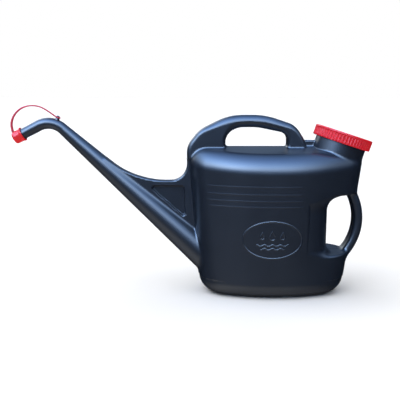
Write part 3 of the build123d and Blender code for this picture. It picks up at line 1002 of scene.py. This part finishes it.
def route_line(route):
    """Points read from a smooth spline whose control points are the route."""
    curve = bpy.data.curves.new("route", "CURVE")
    curve.dimensions = "3D"
    spline = curve.splines.new("NURBS")
    spline.points.add(len(route) - 1)
    for point, (x, z) in zip(spline.points, route):
        point.co = (x * MM, 0, z * MM, 1)
    spline.order_u = 3
    spline.use_endpoint_u = True
    spline.resolution_u = 8
    holder = bpy.data.objects.new("route", curve)
    bpy.context.scene.collection.objects.link(holder)
    bpy.context.view_layer.update()
    mesh = bpy.data.meshes.new_from_object(holder)
    line = np.array([v.co for v in mesh.vertices], float) / MM
    bpy.data.objects.remove(holder)
    bpy.data.meshes.remove(mesh)
    return line


def cap_strap(material):
    """The flat strap that arches from the nozzle cap back to the stud, as a cord."""
    line = route_line(STRAP_ROUTE)
    along = np.gradient(line, axis=0)
    along /= np.linalg.norm(along, axis=1, keepdims=True)
    side = np.repeat([(0.0, 1.0, 0.0)], len(line), axis=0)
    up = np.cross(side, along)
    half_wide, half_thick, edge = STRAP_WIDE / 2, STRAP_THICK / 2, 0.55
    taper = np.linspace(STRAP_ROOT_THICK / STRAP_THICK, 1, len(line))
    section = []
    for quarter in range(4):
        for step in (0, 45, 90):
            angle = degrees(90 * quarter + step)
            sign_side = 1 if quarter in (0, 3) else -1
            sign_up = 1 if quarter in (0, 1) else -1
            section.append((sign_side * (half_wide - edge) + edge * math.cos(angle),
                            sign_up * (half_thick - edge) + edge * math.sin(angle)))
    points, faces = swept(section[::-1], line, side, up * taper[:, None])
    piece = build_mesh("strap_band", points, faces, material)
    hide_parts("cap_strap")
    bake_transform(piece)


# ---------------------------------------------------------------- stage
CAMERA_PLACE, CAMERA_PITCH, CAMERA_LENS = (-0.130, -1.070, 0.354), degrees(79.93), 55.17
FLOOR_HALF, FLOOR_SINK = 30.0, 0.0002           # metres
SKY_STRENGTH = 9.0
SKY = [                         # colour against height, from straight down to straight up
    (0.00, (0.104, 0.105, 0.106)),
    (0.14, (0.094, 0.095, 0.096)),
    (0.34, (0.008, 0.009, 0.011)),
    (0.50, (0.006, 0.008, 0.012)),
    (0.60, (0.06, 0.11, 0.22)),
    (0.72, (0.86, 1.18, 1.70)),
    (0.84, (0.60, 1.00, 1.75)),
    (1.00, (0.28, 0.56, 1.25)),
]
BACKDROP_COLOUR, BACKDROP_STRENGTH = (0.90, 0.96, 1.0), 4.0


def camera():
    data = bpy.data.cameras.new("camera")
    data.lens = CAMERA_LENS
    data.sensor_width = 36
    data.clip_start = 0.01
    holder = bpy.data.objects.new("camera", data)
    holder.location = CAMERA_PLACE
    holder.rotation_euler = (CAMERA_PITCH, 0, 0)
    bpy.context.scene.collection.objects.link(holder)
    bpy.context.scene.camera = holder


def floor():
    mesh = bpy.data.meshes.new("floor")
    corners = [(x * FLOOR_HALF, y * FLOOR_HALF, 0) for x, y in ((-1, -1), (1, -1), (1, 1), (-1, 1))]
    mesh.from_pydata(corners, [], [(0, 1, 2, 3)])
    material, tree, shader = new_material("floor_pale", (0.86, 0.86, 0.86), 0.9, 0.1)
    shade = ramp(tree, noise(tree, 3, 3), [(0.3, (0.84, 0.84, 0.845)), (0.7, (0.87, 0.87, 0.87))])
    tree.links.new(shade, shader.inputs["Base Color"])
    mesh.materials.append(material)
    ground = bpy.data.objects.new("floor", mesh)
    ground.location.z = -FLOOR_SINK
    ground.visible_glossy = False
    bpy.context.scene.collection.objects.link(ground)


def sun(name, turn, lean, strength, spread_angle, colour):
    """A broad soft light. Turn is about Z from +X, and lean is away from overhead."""
    data = bpy.data.lights.new(name, "SUN")
    data.energy = strength
    data.angle = degrees(spread_angle)
    data.color = colour
    holder = bpy.data.objects.new(name, data)
    holder.rotation_euler = (0, degrees(lean), degrees(turn))
    holder.visible_glossy = False
    bpy.context.scene.collection.objects.link(holder)


def world():
    """White to the camera. In reflections, a soft sky: blue above and in front, dark behind.

    A pale band stands low behind, on the left, and lights the edges that face it.
    """
    made = bpy.data.worlds.new("studio")
    bpy.context.scene.world = made
    made.use_nodes = True
    tree = made.node_tree
    tree.nodes.clear()
    direction = tree.nodes.new("ShaderNodeTexCoord")
    split = tree.nodes.new("ShaderNodeSeparateXYZ")
    tree.links.new(direction.outputs["Generated"], split.inputs["Vector"])
    height = spread(tree, split.outputs["Z"], -1, 1, 0, 1)
    front = spread(tree, split.outputs["Y"], -0.75, 0.55, 1.0, 0.05)
    far_left = spread(tree, split.outputs["X"], -0.95, -0.6, 0.25, 1.0)
    near_left = spread(tree, split.outputs["X"], -0.45, -0.12, 1.8, 1.0)
    far_right = spread(tree, split.outputs["X"], 0.25, 0.70, 1.0, 0.22)
    sideways = product(tree, product(tree, far_left, near_left), far_right)
    sky = ramp(tree, height, SKY)
    glow = tree.nodes.new("ShaderNodeBackground")
    power = tree.nodes.new("ShaderNodeMath")
    power.operation = "MULTIPLY"
    power.inputs[1].default_value = SKY_STRENGTH
    tree.links.new(product(tree, front, sideways), power.inputs[0])
    tree.links.new(sky, glow.inputs["Color"])
    tree.links.new(power.outputs["Value"], glow.inputs["Strength"])
    backdrop = tree.nodes.new("ShaderNodeBackground")
    backdrop.inputs["Color"].default_value = (*BACKDROP_COLOUR, 1)
    behind = spread(tree, split.outputs["Y"], 0.35, 0.70, 0.0, BACKDROP_STRENGTH)
    leftwards = spread(tree, split.outputs["X"], -0.10, -0.40, 0.0, 1.0)
    above_floor = spread(tree, split.outputs["Z"], 0.10, 0.32, 0.0, 1.0)
    below_top = spread(tree, split.outputs["Z"], 0.55, 0.80, 1.0, 0.0)
    aside = product(tree, behind, leftwards)
    band = product(tree, above_floor, below_top)
    tree.links.new(product(tree, aside, band), backdrop.inputs["Strength"])
    reflected = tree.nodes.new("ShaderNodeAddShader")
    tree.links.new(glow.outputs["Background"], reflected.inputs[0])
    tree.links.new(backdrop.outputs["Background"], reflected.inputs[1])
    plain = tree.nodes.new("ShaderNodeBackground")
    plain.inputs["Color"].default_value = (1.0, 1.0, 1.0, 1)
    path = tree.nodes.new("ShaderNodeLightPath")
    mix = tree.nodes.new("ShaderNodeMixShader")
    tree.links.new(path.outputs["Is Camera Ray"], mix.inputs["Fac"])
    tree.links.new(reflected.outputs["Shader"], mix.inputs[1])
    tree.links.new(plain.outputs["Background"], mix.inputs[2])
    output = tree.nodes.new("ShaderNodeOutputWorld")
    tree.links.new(mix.outputs["Shader"], output.inputs["Surface"])
    made.cycles_visibility.diffuse = False


camera()
floor()
world()
sun("key", 200, 30, 2.0, 70, (1.0, 0.99, 0.97))
sun("overhead", 60, 12, 2.4, 120, (0.98, 0.99, 1.0))
bpy.context.scene.view_settings.view_transform = "Standard"

NAVY = can_plastic()
CAP_RED = red_plastic("cap_red", (0.78, 0.004, 0.016), (0.68, 0.003, 0.012), 0.32)
NOZZLE_RED = red_plastic("nozzle_red", (0.82, 0.012, 0.016), (0.72, 0.008, 0.012), 0.30)
STRAP_RED = red_plastic("strap_red", (0.60, 0.014, 0.045), (0.50, 0.010, 0.034), 0.5)

can_moulding(NAVY)
fill_cap(CAP_RED)
fill_cap_liner(foam())
strap_stud(NAVY)
NOZZLE_PIECE = nozzle_cap(NOZZLE_RED)
EYE_PIECE = strap_eye(STRAP_RED)
cap_strap(STRAP_RED)
